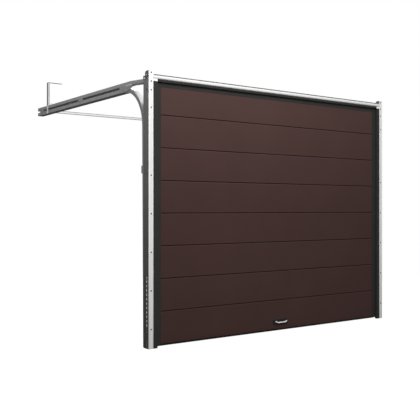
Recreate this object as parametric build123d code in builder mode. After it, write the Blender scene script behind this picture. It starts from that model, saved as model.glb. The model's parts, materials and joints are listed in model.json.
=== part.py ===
from build123d import *
import math
import os

os.makedirs("parts", exist_ok=True)

# Millimetres. The origin is the middle of the header's white front face,
# X runs across the opening, Y into the garage and Z up.

# Opening and leaf
OPENING_W = 2500.0
POST_W = 127.0
SECTION_H = 525.0
SECTION_COUNT = 4
FLOOR_GAP = 24.0
LEAF_FRONT = 24.0
LEAF_T = 40.0
LEAF_LAP = 32.0
GROOVE = 4.0
TONGUE_H = 8.0
TONGUE_W = 14.0

# Header and posts
SHEET = 2.0
HEADER_H = 30.0
HEADER_RISE = 19.0
BEAM_RISE = 5.0
BEAM_D = 36.0
POST_RISE = 80.0
WEB_RISE = 13.0
FLANGE_W = 42.0
STRIP_W = 40.0
HOUSING_D = 83.0
LIP_T = 2.5
LIP_DROP = 38.0
BOLT_IN = 23.5
BOLT_R = 4.5
BOLT_LOW = 155.0
BOLT_PITCH = 305.0
BOLT_COUNT = 5
BOLT_DROPS = (212.0, 74.0, 5.0, -64.0)

# Roller tracks
TRACK_W = 32.0
TRACK_D = 58.0
TRACK_LIP = 6.0
TRACK_BEVEL = 3.0
TRACK_FOOT_Y = 78.0
TRACK_LEAN = 0.5
BEND_R = 318.0
RAIL_PITCH = 50.0
RAIL_OVER = 22.0
RAIL_END = 2254.0
NOSE_START = 62.0
NOSE_BEND = 300.0
NOSE_ANGLE = 4.0
GUSSET_AHEAD = 143.0
GUSSET_BEHIND = 68.0
GUSSET_TAPER = 62.0
STRAP_BACKS = (1024.0, 111.0)
STRAP_W = 98.0
STRAP_LAP = 4.0
CLIP_W = 20.0
CLIP_H = 62.0
CLIP_RISE = 36.0

# Running gear
RUN_GAP = 0.3
SHAFT_R = 5.0
SLEEVE_R = 8.0
WHEEL_IN = 20.0
WHEEL_T = 20.0
LOW_ROLLER = 85.0
TOP_ROLLER_Y = 86.0
CARRIER_W = 60.0
CARRIER_T = 2.5
CAP_T = 1.5
CAP_RETURN = 72.0

# Counterbalance
SHEAVE_Y = 34.0
SHEAVE_RISE = 50.0
SHEAVE_R = 21.0
SHEAVE_T = 7.0
PITCH_R = 17.0
CHEEK_GAP = 38.0
ROPE_R = 1.5
ROPE_SIDES = 6
SPRING_R = 13.5
SPRING_Y = 18.5
HOOK_R = 2.5
ANCHOR_H = 333.0
HOOK_H = 117.0
SPRING_DROP = 254.0
SPRING_TAPER = 14.0
HOOK_REACH = 40.0
PIN_PLATE = 12.0
PIN_Y = 44.0
PIN_RISE = 100.0
TAIL_H = 134.0

# Hangers and spreader
HANGER_RISE = 272.0
HANGER_BACK = 267.0
HANGER_W = 30.0
HANGER_FLANGE = 18.0
HANGER_ARM = 157.0
HANGER_HOLES = (60.0, 120.0)
SPREADER_BACK = 74.0
SPREADER_TAB = 60.0
SPREADER_H = 27.0

# Handles
HANDLE_X = 24.0
HANDLE_RISE = 87.0
HANDLE_W = 180.0
HANDLE_H = 44.0
GRIP_R = 6.5
GRIP_SIDES = 8
GRIP_HALF = 61.5
GRIP_BAR = 49.0
GRIP_LIFT = 17.0

# Levels and edges that follow from them
HALF = OPENING_W / 2 + POST_W
LEFT = -HALF
LEAF_BACK = LEAF_FRONT + LEAF_T
LEAF_HALF = OPENING_W / 2 + LEAF_LAP
LEAF_TOP = -HEADER_RISE - HEADER_H / 2
LEAF_LOW = LEAF_TOP - SECTION_COUNT * SECTION_H
FLOOR = LEAF_LOW - FLOOR_GAP
JOINT_1 = LEAF_LOW + SECTION_H
JOINT_2 = JOINT_1 + SECTION_H
JOINT_3 = JOINT_2 + SECTION_H
POST_TOP = LEAF_TOP + POST_RISE
WEB_TOP = LEAF_TOP + WEB_RISE
HEADER_LOW = LEAF_TOP + HEADER_RISE
HEADER_TOP = HEADER_LOW + HEADER_H
STRIP_END = FLANGE_W + STRIP_W
STRIP_HALF = HALF - STRIP_END
UPPER_Z = LEAF_TOP + RAIL_OVER
LOWER_Z = UPPER_Z - RAIL_PITCH
TRACK_X = LEFT + SHEET
CAP_BACK = LEAF_BACK + CAP_T
LEAN = math.radians(TRACK_LEAN)
BEND_START_Z = LOWER_Z - BEND_R * (1 - math.sin(LEAN))
BEND_START_Y = TRACK_FOOT_Y + (BEND_START_Z - FLOOR) * math.tan(LEAN)
BEND_Y = BEND_START_Y + BEND_R * math.cos(LEAN)
SHEAVE_Z = LEAF_TOP + SHEAVE_RISE
WHEEL_R = TRACK_W / 2 - SHEET - RUN_GAP
RAIL_INNER = TRACK_X + TRACK_D
LANE = SHEET + CHEEK_GAP / 2
PIN_X = RAIL_INNER + SHEET + PIN_PLATE


def track_y(height):
    # Depth of the leaning track's centre line at a height
    return TRACK_FOOT_Y + (height - FLOOR) * math.tan(LEAN)


def nose_z(depth):
    # Height of the upper rail's centre line along its sloping nose
    return UPPER_Z - (NOSE_BEND - depth) * math.tan(math.radians(NOSE_ANGLE))


def channel(plane):
    # Rolled track section: web outermost, mouth facing into the door
    w, d, t = TRACK_W / 2, TRACK_D, SHEET
    with BuildSketch(plane) as section:
        with BuildLine():
            Polyline(
                (0, -w), (d, -w), (d, TRACK_LIP - w), (d - t, TRACK_LIP - w), (d - t, t - w), (t, t - w),
                (t, w - t), (d - t, w - t), (d - t, w - TRACK_LIP), (d, w - TRACK_LIP), (d, w), (0, w),
                close=True,
            )
        make_face()
        chamfer(section.vertices().group_by(Axis.X)[0], TRACK_BEVEL)
    return section.sketch


def section_outline(low, top_tongue):
    # Side outline of one leaf section: grooved below, with a shallow V groove at mid height
    f, b, high = LEAF_FRONT, LEAF_BACK, low + SECTION_H
    mid, middle = low + SECTION_H / 2, (LEAF_FRONT + LEAF_BACK) / 2
    half = TONGUE_W / 2
    with BuildSketch(Plane.YZ.offset(-LEAF_HALF + SHEET)) as outline:
        with BuildLine():
            Polyline(
                (f + GROOVE, low), (b, low), (b, high), (f + GROOVE, high), (f, high - GROOVE),
                (f, mid + GROOVE), (f + GROOVE, mid), (f, mid - GROOVE), (f, low + GROOVE),
                close=True,
            )
        make_face()
        with BuildLine():
            Polyline(
                (middle - half, low), (middle - half + 2, low + TONGUE_H + 1),
                (middle + half - 2, low + TONGUE_H + 1), (middle + half, low),
                close=True,
            )
        make_face(mode=Mode.SUBTRACT)
        if top_tongue:
            with BuildLine():
                Polyline(
                    (middle - half + 1, high), (middle - half + 3, high + TONGUE_H),
                    (middle + half - 3, high + TONGUE_H), (middle + half - 1, high),
                    close=True,
                )
            make_face()
    return outline.sketch


# White angle down the front of the left post, with a shallow pressed channel and its wall bolt holes
with BuildPart() as left_jamb_angle:
    with BuildSketch(Plane.XY.offset(FLOOR)):
        with BuildLine():
            Polyline(
                (LEFT, 0), (LEFT + 14, 0), (LEFT + 15, 0.8), (LEFT + 31, 0.8), (LEFT + 32, 0),
                (LEFT + FLANGE_W, 0), (LEFT + FLANGE_W, SHEET), (LEFT, SHEET),
                close=True,
            )
        make_face()
    extrude(amount=POST_TOP - FLOOR)
    with BuildSketch(Plane.XZ):
        with Locations((LEFT + BOLT_IN, FLOOR + BOLT_LOW + BOLT_PITCH * (BOLT_COUNT - 1) / 2)):
            with GridLocations(1, BOLT_PITCH, 1, BOLT_COUNT):
                Circle(BOLT_R)
        with Locations(*[(LEFT + BOLT_IN, LEAF_TOP - drop) for drop in BOLT_DROPS]):
            Circle(BOLT_R)
    extrude(amount=-SHEET, mode=Mode.SUBTRACT)

# Folded steel housing behind it: side web with perforated foot, and front flange
WEB_SEAM = 1388.0
PERF_MID = 46.0
PERF_PITCH = 17.4
PERF_SPREAD = 30.0
PERF_RISE = 350.0
PERF_FOOT = 38.0
with BuildPart() as left_spring_housing:
    with BuildSketch(Plane.XY.offset(FLOOR)):
        with BuildLine():
            Polyline(
                (LEFT, SHEET), (LEFT + STRIP_END - SHEET, SHEET), (LEFT + STRIP_END - SHEET, 2 * SHEET),
                (LEFT + SHEET, 2 * SHEET), (LEFT + SHEET, HOUSING_D), (LEFT, HOUSING_D),
                close=True,
            )
        make_face()
    extrude(amount=LEAF_TOP - FLOOR)
    with BuildSketch(Plane.YZ.offset(LEFT)):
        with Locations(((SHEET + HOUSING_D) / 2, (LEAF_TOP + WEB_TOP) / 2)):
            Rectangle(HOUSING_D - SHEET, WEB_RISE)
    extrude(amount=SHEET)
    with BuildSketch(Plane.YZ.offset(LEFT)):
        with Locations((PERF_MID, FLOOR + PERF_RISE)):
            with GridLocations(PERF_SPREAD, PERF_PITCH, 2, 26):
                Rectangle(7, 8)
        with Locations((PERF_MID, FLOOR + PERF_FOOT)):
            with GridLocations(PERF_SPREAD, PERF_PITCH, 2, 4):
                Rectangle(7, 8)
        with Locations((30, LEAF_TOP - 70)):
            SlotOverall(24, 9, rotation=60)
    extrude(amount=SHEET, mode=Mode.SUBTRACT)
    with BuildSketch(Plane.YZ.offset(LEFT)):
        with Locations((HOUSING_D / 2, FLOOR + WEB_SEAM)):
            Rectangle(HOUSING_D, 3)
    extrude(amount=SHEET / 2, mode=Mode.SUBTRACT)
    with BuildSketch(Plane.XZ.offset(-SHEET)):
        with Locations((LEFT + BOLT_IN, FLOOR + BOLT_LOW + BOLT_PITCH * (BOLT_COUNT - 1) / 2)):
            with GridLocations(1, BOLT_PITCH, 1, BOLT_COUNT):
                Rectangle(14, 14)
        with Locations(*[(LEFT + BOLT_IN, LEAF_TOP - drop) for drop in BOLT_DROPS[:3]]):
            Rectangle(14, 10)
    extrude(amount=-SHEET, mode=Mode.SUBTRACT)

# Galvanised strip inside the housing, with the shelf that anchors the spring
STRIP_TALL = 594.0
STRIP_RISE = 6.0
STRIP_MID = 31.0
SHELF_REACH = 28.0
SHELF_T = 3.0
with BuildPart() as left_anchor_strip:
    with BuildSketch(Plane.YZ.offset(TRACK_X)):
        with Locations((STRIP_MID, FLOOR + STRIP_RISE + STRIP_TALL / 2)):
            Rectangle(SHELF_REACH, STRIP_TALL)
    extrude(amount=SHEET)
    with BuildSketch(Plane.XY.offset(FLOOR + ANCHOR_H - SHELF_T)):
        with Locations((TRACK_X + SHEET + SHELF_REACH / 2, SPRING_Y)):
            Rectangle(SHELF_REACH, SHELF_REACH / 2)
    extrude(amount=SHELF_T)

# Dark seal beside the white angle: front strip, fold and soft lip on the leaf
with BuildPart() as left_side_seal:
    with BuildSketch(Plane.XY.offset(FLOOR + SHEET)):
        with BuildLine():
            Polyline(
                (LEFT + FLANGE_W, 0), (LEFT + STRIP_END, 0), (LEFT + STRIP_END, LEAF_FRONT),
                (LEFT + STRIP_END - SHEET, LEAF_FRONT), (LEFT + STRIP_END - SHEET, SHEET),
                (LEFT + FLANGE_W, SHEET),
                close=True,
            )
        make_face()
    extrude(amount=LEAF_TOP - FLOOR - SHEET)
    with BuildSketch(Plane.XY.offset(FLOOR + 20)):
        with BuildLine():
            Polyline(
                (LEFT + STRIP_END, LEAF_FRONT - LIP_T), (LEFT + POST_W - 8, LEAF_FRONT - 1.5),
                (LEFT + POST_W - 5, LEAF_FRONT - LIP_T), (LEFT + POST_W - 1, LEAF_FRONT - LIP_T),
                (LEFT + POST_W, LEAF_FRONT - 1), (LEFT + POST_W, LEAF_FRONT), (LEFT + STRIP_END, LEAF_FRONT),
                close=True,
            )
        make_face()
    extrude(amount=LEAF_TOP - LIP_DROP - FLOOR - 20)

# White header face with a small tab at each corner
with BuildPart() as header_face:
    with BuildSketch(Plane.XZ):
        with BuildLine():
            Polyline(
                (LEFT + FLANGE_W, HEADER_TOP), (HALF - FLANGE_W, HEADER_TOP), (HALF - FLANGE_W, LEAF_TOP),
                (STRIP_HALF, LEAF_TOP), (STRIP_HALF, HEADER_LOW), (-STRIP_HALF, HEADER_LOW),
                (-STRIP_HALF, LEAF_TOP), (LEFT + FLANGE_W, LEAF_TOP),
                close=True,
            )
        make_face()
    extrude(amount=-SHEET)

# Galvanised beam behind the header, folded back along its top
with BuildPart() as header_beam:
    beam_low, beam_top = LEAF_TOP + SHEET, HEADER_TOP + BEAM_RISE
    with BuildSketch(Plane.YZ.offset(LEFT + FLANGE_W + 4)):
        with BuildLine():
            Polyline(
                (SHEET, beam_low), (2 * SHEET, beam_low), (2 * SHEET, beam_top - SHEET),
                (SHEET + BEAM_D - SHEET, beam_top - SHEET), (SHEET + BEAM_D - SHEET, beam_top - 33),
                (SHEET + BEAM_D, beam_top - 33), (SHEET + BEAM_D, beam_top), (SHEET, beam_top),
                close=True,
            )
        make_face()
    extrude(amount=2 * (HALF - FLANGE_W - 4))

# Dark seal under the header: front strip, fold and soft lip on the leaf
with BuildPart() as top_seal:
    fold = LEAF_TOP + 1
    with BuildSketch(Plane.YZ.offset(-STRIP_HALF)):
        with BuildLine():
            Polyline(
                (0, HEADER_LOW), (SHEET, HEADER_LOW), (SHEET, fold), (LEAF_FRONT, fold),
                (LEAF_FRONT, LEAF_TOP - LIP_DROP), (LEAF_FRONT - 1, LEAF_TOP - LIP_DROP),
                (LEAF_FRONT - LIP_T, LEAF_TOP - LIP_DROP + 3), (LEAF_FRONT - 1.5, LEAF_TOP - LIP_DROP + 8),
                (LEAF_FRONT - LIP_T, fold - SHEET), (0, fold - SHEET),
                close=True,
            )
        make_face()
    extrude(amount=2 * STRIP_HALF)

# Leaning upright track, riveted to the housing web
with BuildPart() as left_vertical_track:
    up = Vector(0, math.sin(LEAN), math.cos(LEAN))
    top_end = Plane(origin=(TRACK_X, BEND_START_Y, BEND_START_Z), x_dir=(1, 0, 0), z_dir=up)
    extrude(channel(top_end), amount=(BEND_START_Z - FLOOR - 6) / math.cos(LEAN), dir=-up)

# Quarter bend that leads the lower rollers from upright to level
BEND_END = Plane(origin=(TRACK_X, BEND_Y, LOWER_Z), x_dir=(1, 0, 0), z_dir=(0, 1, 0))
with BuildPart() as left_track_bend:
    revolve(
        channel(BEND_END), axis=Axis((0, BEND_Y, LOWER_Z - BEND_R), (1, 0, 0)), revolution_arc=90 - TRACK_LEAN
    )

# Level lower rail
with BuildPart() as left_lower_rail:
    extrude(channel(BEND_END), amount=RAIL_END - BEND_Y, dir=(0, 1, 0))

# Upper rail, level with a sloping nose for the top roller
with BuildPart() as left_upper_rail:
    tail = Plane(origin=(TRACK_X, RAIL_END, UPPER_Z), x_dir=(1, 0, 0), z_dir=(0, 1, 0))
    with BuildLine() as rail_line:
        Polyline(
            (TRACK_X, RAIL_END, UPPER_Z), (TRACK_X, NOSE_BEND, UPPER_Z), (TRACK_X, NOSE_START, nose_z(NOSE_START))
        )
    sweep(channel(tail), path=rail_line.line, transition=Transition.RIGHT)

# Plates that tie the rails together, and the clip at the housing's seam
GUSSET_LOW = LOWER_Z - TRACK_W / 2
GUSSET_TOP = UPPER_Z - TRACK_W / 2 + STRAP_LAP
GUSSET_FRONT = BEND_Y - GUSSET_AHEAD
GUSSET_BACK = BEND_Y + GUSSET_BEHIND
SLOT_MID = (UPPER_Z + LOWER_Z) / 2
with BuildPart() as left_track_plates:
    with BuildSketch(Plane.YZ.offset(LEFT)) as gusset:
        with BuildLine():
            Polyline(
                (GUSSET_FRONT, GUSSET_TOP), (GUSSET_BACK, GUSSET_TOP), (GUSSET_BACK, GUSSET_LOW),
                (BEND_Y, GUSSET_LOW), (GUSSET_FRONT + GUSSET_TAPER, GUSSET_LOW + 4),
                (GUSSET_FRONT, GUSSET_LOW + 26),
                close=True,
            )
        make_face()
        chamfer(gusset.vertices().group_by(Axis.X)[-1], 6)
    extrude(amount=SHEET)
    with BuildSketch(Plane.YZ.offset(LEFT)):
        with Locations(*[(RAIL_END - back, SLOT_MID) for back in STRAP_BACKS]):
            Rectangle(STRAP_W, RAIL_PITCH - TRACK_W + 2 * STRAP_LAP)
        with Locations((track_y(FLOOR + WEB_SEAM) + TRACK_W / 2, FLOOR + WEB_SEAM + CLIP_RISE)):
            Rectangle(CLIP_W, CLIP_H)
    extrude(amount=SHEET)

# Ceiling hanger: a steel angle bolted to the rail webs, with a flat arm turned in along the ceiling
HANGER_Y = RAIL_END - HANGER_BACK
HANGER_MID = HANGER_Y + HANGER_W / 2
HANGER_TOP = LEAF_TOP + HANGER_RISE
HANGER_LOW = LOWER_Z - TRACK_W / 2
HANGER_CLEAR = UPPER_Z + TRACK_W / 2 + 2 * RUN_GAP
with BuildPart() as left_hanger:
    with BuildSketch(Plane.YZ.offset(LEFT)):
        with Locations((HANGER_MID, (HANGER_TOP + HANGER_LOW) / 2)):
            Rectangle(HANGER_W, HANGER_TOP - HANGER_LOW)
    extrude(amount=SHEET)
    with BuildSketch(Plane.XZ.offset(-HANGER_Y)):
        with Locations((TRACK_X + HANGER_FLANGE / 2, (HANGER_TOP + HANGER_CLEAR) / 2)):
            Rectangle(HANGER_FLANGE, HANGER_TOP - HANGER_CLEAR)
    extrude(amount=-SHEET)
    with BuildSketch(Plane.XY.offset(HANGER_TOP - SHEET)):
        with Locations((LEFT + HANGER_ARM / 2, HANGER_MID)):
            Rectangle(HANGER_ARM, HANGER_W)
        with Locations(*[(LEFT + across, HANGER_MID) for across in HANGER_HOLES]):
            Circle(BOLT_R, mode=Mode.SUBTRACT)
    extrude(amount=SHEET)
    corner = left_hanger.edges().filter_by(Axis.Y).group_by(Axis.Z)[-1].sort_by(Axis.X)[0]
    chamfer(corner, SHEET * 0.9)

# Folded spreader bar that holds the rails' rear ends apart, with an end tab on each upper rail
SPREADER_Y = RAIL_END - SPREADER_BACK
SPREADER_TOP = UPPER_Z - 1
with BuildPart() as rear_spreader:
    with BuildSketch(Plane.YZ.offset(RAIL_INNER)):
        with BuildLine():
            Polyline(
                (SPREADER_Y, SPREADER_TOP), (SPREADER_Y + 24, SPREADER_TOP),
                (SPREADER_Y + 24, SPREADER_TOP - SHEET), (SPREADER_Y + SHEET, SPREADER_TOP - SHEET),
                (SPREADER_Y + SHEET, SPREADER_TOP - SPREADER_H + SHEET),
                (SPREADER_Y + 12, SPREADER_TOP - SPREADER_H + SHEET),
                (SPREADER_Y + 12, SPREADER_TOP - SPREADER_H), (SPREADER_Y, SPREADER_TOP - SPREADER_H),
                close=True,
            )
        make_face()
    extrude(amount=-2 * RAIL_INNER)
    with BuildSketch(Plane.YZ.offset(RAIL_INNER)):
        with Locations((SPREADER_Y + 6, UPPER_Z)):
            Rectangle(SPREADER_TAB, TRACK_W - 2)
    extrude(amount=SHEET)
    mirror(about=Plane.YZ)

# Stepped bracket on the post top, with two cheeks that carry the cable sheave
AXLE_HOLE_R = SHAFT_R + RUN_GAP
with BuildPart() as left_pulley_bracket:
    with BuildSketch(Plane.YZ.offset(LEFT)):
        with BuildLine():
            Polyline(
                (SHEET, WEB_TOP), (HOUSING_D + 3, WEB_TOP), (HOUSING_D + 3, WEB_TOP + 32), (58, WEB_TOP + 32),
                (58, POST_TOP - 14), (46, POST_TOP), (SHEET, POST_TOP),
                close=True,
            )
        make_face()
        with Locations((66, WEB_TOP + 13), (18, WEB_TOP + 13)):
            Circle(6, mode=Mode.SUBTRACT)
        with Locations((SHEAVE_Y, SHEAVE_Z)):
            Circle(AXLE_HOLE_R, mode=Mode.SUBTRACT)
    extrude(amount=SHEET)
    with BuildSketch(Plane.YZ.offset(TRACK_X + CHEEK_GAP)):
        with BuildLine():
            Polyline(
                (6, WEB_TOP + 24), (58, WEB_TOP + 24), (58, POST_TOP - 24), (36, POST_TOP), (6, POST_TOP),
                close=True,
            )
        make_face()
        with Locations((SHEAVE_Y, SHEAVE_Z)):
            Circle(AXLE_HOLE_R, mode=Mode.SUBTRACT)
    extrude(amount=SHEET)
    with BuildSketch(Plane.XY.offset(POST_TOP - 2 * SHEET)):
        with Locations((TRACK_X + CHEEK_GAP / 2, 21)):
            Rectangle(CHEEK_GAP, 26)
    extrude(amount=SHEET)
    with BuildSketch(Plane.YZ.offset(TRACK_X)):
        with Locations((29, WEB_TOP + 4 - TAIL_H / 2)):
            Rectangle(42, TAIL_H)
    extrude(amount=SHEET)

# Grooved sheave turning on its axle
with BuildPart() as left_pulley:
    hub = CHEEK_GAP / 2 - RUN_GAP
    axle_end = CHEEK_GAP / 2 + SHEET
    groove_r = PITCH_R - ROPE_R - RUN_GAP
    with BuildSketch(Plane.XY):
        with BuildLine():
            Polyline(
                (-axle_end, 0), (-axle_end, SHAFT_R), (-hub, SHAFT_R), (-hub, SLEEVE_R), (-SHEAVE_T, SHEAVE_R),
                (-2, groove_r), (2, groove_r), (SHEAVE_T, SHEAVE_R), (hub, SLEEVE_R), (hub, SHAFT_R),
                (axle_end, SHAFT_R), (axle_end, 0),
                close=True,
            )
        make_face()
    revolve(axis=Axis.X)
left_pulley_in_place = Pos(LEFT + LANE, SHEAVE_Y, SHEAVE_Z) * left_pulley.part

# Extension spring as its close-wound body, with a hook at each end
SPRING_LOW = FLOOR + ANCHOR_H + HOOK_H
SPRING_TOP = LEAF_TOP - SPRING_DROP
HOOK_TOP = SPRING_TOP + HOOK_REACH
with BuildPart() as left_spring:
    with BuildSketch(Plane(origin=(LEFT + LANE, SPRING_Y, 0), x_dir=(1, 0, 0), z_dir=(0, -1, 0))):
        with BuildLine():
            Polyline(
                (0, FLOOR + ANCHOR_H), (HOOK_R, FLOOR + ANCHOR_H), (HOOK_R, SPRING_LOW - SPRING_TAPER),
                (SPRING_R, SPRING_LOW), (SPRING_R, SPRING_TOP), (HOOK_R, SPRING_TOP + SPRING_TAPER),
                (HOOK_R, HOOK_TOP), (0, HOOK_TOP),
                close=True,
            )
        make_face()
    revolve(axis=Axis((LEFT + LANE, SPRING_Y, 0), (0, 0, 1)))

# Lift cable: spring, over the sheave and down to the eye on the bottom bracket
PIN_Z = FLOOR + PIN_RISE
EYE_R = 9.0
PIN_R = 4.2
with BuildPart() as left_lift_cable:
    with BuildSketch(Plane.XY.offset(HOOK_TOP + RUN_GAP)):
        with Locations((LEFT + LANE, SHEAVE_Y - PITCH_R)):
            RegularPolygon(ROPE_R, ROPE_SIDES)
    extrude(amount=SHEAVE_Z - HOOK_TOP - RUN_GAP)
    with BuildSketch(Plane.XY.offset(SHEAVE_Z)):
        with Locations((LEFT + LANE, SHEAVE_Y + PITCH_R)):
            RegularPolygon(ROPE_R, ROPE_SIDES)
    revolve(axis=Axis((0, SHEAVE_Y, SHEAVE_Z), (1, 0, 0)), revolution_arc=180)
    rear = Vector(LEFT + LANE, SHEAVE_Y + PITCH_R, SHEAVE_Z)
    fall = Vector(PIN_X, PIN_Y, PIN_Z + EYE_R - 2) - rear
    with BuildSketch(Plane(origin=rear, x_dir=(1, 0, 0), z_dir=fall)):
        RegularPolygon(ROPE_R, ROPE_SIDES)
    extrude(amount=fall.length)
    with BuildSketch(Plane.XZ.offset(-PIN_Y - 2)):
        with Locations((PIN_X, PIN_Z)):
            Circle(EYE_R)
            Circle(PIN_R + RUN_GAP, mode=Mode.SUBTRACT)
    extrude(amount=4)

# Four insulated leaf sections
with BuildPart() as bottom_section:
    extrude(section_outline(LEAF_LOW, True), amount=2 * (LEAF_HALF - SHEET), dir=(1, 0, 0))
with BuildPart() as lower_middle_section:
    extrude(section_outline(JOINT_1, True), amount=2 * (LEAF_HALF - SHEET), dir=(1, 0, 0))
with BuildPart() as upper_middle_section:
    extrude(section_outline(JOINT_2, True), amount=2 * (LEAF_HALF - SHEET), dir=(1, 0, 0))
with BuildPart() as top_section:
    extrude(section_outline(JOINT_3, False), amount=2 * (LEAF_HALF - SHEET), dir=(1, 0, 0))

# Steel caps on the sections' left ends, each turned over the inner face
with BuildPart() as left_end_caps:
    for low in (LEAF_LOW, JOINT_1, JOINT_2, JOINT_3):
        with BuildSketch(Plane.XY.offset(low + GROOVE)):
            with BuildLine():
                Polyline(
                    (-LEAF_HALF, LEAF_FRONT), (-LEAF_HALF + SHEET, LEAF_FRONT), (-LEAF_HALF + SHEET, LEAF_BACK),
                    (-LEAF_HALF + CAP_RETURN, LEAF_BACK), (-LEAF_HALF + CAP_RETURN, CAP_BACK),
                    (-LEAF_HALF, CAP_BACK),
                    close=True,
                )
            make_face()
        extrude(amount=SECTION_H - 2 * GROOVE)

# Aluminium edge rail round the foot of the leaf, its front lip between the side seals
RAIL_FOOT = LEAF_LOW - 4
RAIL_LIP = LEAF_LOW + 24
LIP_SHEET = 1.5
with BuildPart() as bottom_rail:
    with BuildSketch(Plane.YZ.offset(-LEAF_HALF + SHEET)):
        with Locations(((LEAF_FRONT + LEAF_BACK) / 2, (RAIL_FOOT + LEAF_LOW) / 2)):
            Rectangle(LEAF_T, LEAF_LOW - RAIL_FOOT)
    extrude(amount=2 * (LEAF_HALF - SHEET))
    with BuildSketch(Plane.YZ.offset(-OPENING_W / 2 + SHEET)):
        with Locations((LEAF_FRONT - LIP_SHEET / 2, (RAIL_FOOT + RAIL_LIP) / 2)):
            Rectangle(LIP_SHEET, RAIL_LIP - RAIL_FOOT)
    extrude(amount=OPENING_W - 2 * SHEET)
    inner_half = LEAF_HALF - CAP_RETURN - SHEET
    with BuildSketch(Plane.YZ.offset(-inner_half)):
        with Locations((LEAF_BACK + LIP_SHEET / 2, (RAIL_FOOT + RAIL_LIP) / 2)):
            Rectangle(LIP_SHEET, RAIL_LIP - RAIL_FOOT)
    extrude(amount=2 * inner_half)

# Rubber floor seal held in the edge rail
SEAL_H = 11.0
with BuildPart() as bottom_seal:
    with BuildSketch(Plane.YZ.offset(-LEAF_HALF + SHEET)):
        with Locations(((LEAF_FRONT + LEAF_BACK) / 2, RAIL_FOOT - SEAL_H / 2)):
            seal = Rectangle(LEAF_T - 12, SEAL_H)
        fillet(seal.vertices().group_by(Axis.Y)[0], 5)
    extrude(amount=2 * (LEAF_HALF - SHEET))

# Hinges across the three section joints on the inner face
HINGE_W = 64.0
HINGE_REACH = 60.0
HINGE_PITCH = 640.0
KNUCKLE_R = 6.5
with BuildPart() as centre_hinges:
    for joint in (JOINT_1, JOINT_2, JOINT_3):
        for across in (-HINGE_PITCH, 0, HINGE_PITCH):
            with BuildSketch(Plane.YZ.offset(across - HINGE_W / 2)):
                with Locations((LEAF_BACK + CARRIER_T / 2, joint)):
                    Rectangle(CARRIER_T, 2 * HINGE_REACH)
                with Locations((LEAF_BACK + KNUCKLE_R + 0.5, joint)):
                    Circle(KNUCKLE_R)
            extrude(amount=HINGE_W)

# Roller carriers on the end caps: low bracket, three side hinges, top bracket
TOP_ROLLER_Z = nose_z(TOP_ROLLER_Y)
CARRIER_X = -LEAF_HALF + 5
with BuildPart() as left_roller_carriers:
    for height in (FLOOR + LOW_ROLLER, JOINT_1, JOINT_2, JOINT_3):
        depth = track_y(height)
        with BuildSketch(Plane.YZ.offset(CARRIER_X)):
            with Locations((CAP_BACK + CARRIER_T / 2, height)):
                Rectangle(CARRIER_T, 90)
            with Locations(((CAP_BACK + depth + SLEEVE_R) / 2, height)):
                neck = Rectangle(depth + SLEEVE_R - CAP_BACK, 2 * SLEEVE_R)
            chamfer(neck.vertices().group_by(Axis.X)[-1], SLEEVE_R / 2)
            with Locations((depth, height)):
                Circle(SHAFT_R + RUN_GAP, mode=Mode.SUBTRACT)
        extrude(amount=CARRIER_W)
    with BuildSketch(Plane.YZ.offset(CARRIER_X)):
        with Locations((CAP_BACK + CARRIER_T / 2, TOP_ROLLER_Z - 41)):
            Rectangle(CARRIER_T, 90)
        with Locations(((CAP_BACK + TOP_ROLLER_Y + SLEEVE_R) / 2, TOP_ROLLER_Z)):
            neck = Rectangle(TOP_ROLLER_Y + SLEEVE_R - CAP_BACK, 2 * SLEEVE_R)
        chamfer(neck.vertices().group_by(Axis.X)[-1], SLEEVE_R / 2)
        with Locations((TOP_ROLLER_Y, TOP_ROLLER_Z)):
            Circle(SHAFT_R + RUN_GAP, mode=Mode.SUBTRACT)
    extrude(amount=CARRIER_W)
    with BuildSketch(Plane.XZ.offset(-CAP_BACK)):
        with BuildLine():
            Polyline(
                (PIN_X - PIN_PLATE, PIN_Z - 14), (CARRIER_X, PIN_Z - 14), (CARRIER_X, PIN_Z + 30),
                (CARRIER_X - 8, PIN_Z + 30), (PIN_X - PIN_PLATE, PIN_Z + 12),
                close=True,
            )
        make_face()
    extrude(amount=-CARRIER_T)
    with BuildSketch(Plane.XZ.offset(-CAP_BACK - 1)):
        with Locations((PIN_X, PIN_Z)):
            Circle(PIN_R)
    extrude(amount=CAP_BACK - PIN_Y + 7)

# Track rollers, each a wheel with rounded rim on a steel stub shaft
WHEEL_X = LEFT + WHEEL_IN
SHAFT_END = CARRIER_X + CARRIER_W + 3 - WHEEL_X
with BuildPart() as left_rollers:
    centres = [(track_y(height), height) for height in (FLOOR + LOW_ROLLER, JOINT_1, JOINT_2, JOINT_3)]
    for depth, height in centres + [(TOP_ROLLER_Y, TOP_ROLLER_Z)]:
        with BuildSketch(Plane(origin=(WHEEL_X, depth, height), x_dir=(1, 0, 0), z_dir=(0, 0, 1))):
            with BuildLine():
                Polyline(
                    (0, 0), (0, WHEEL_R - 2), (2, WHEEL_R), (WHEEL_T, WHEEL_R), (WHEEL_T, SHAFT_R),
                    (SHAFT_END, SHAFT_R), (SHAFT_END, 0),
                    close=True,
                )
            make_face()
        revolve(axis=Axis((WHEEL_X, depth, height), (1, 0, 0)))

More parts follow.
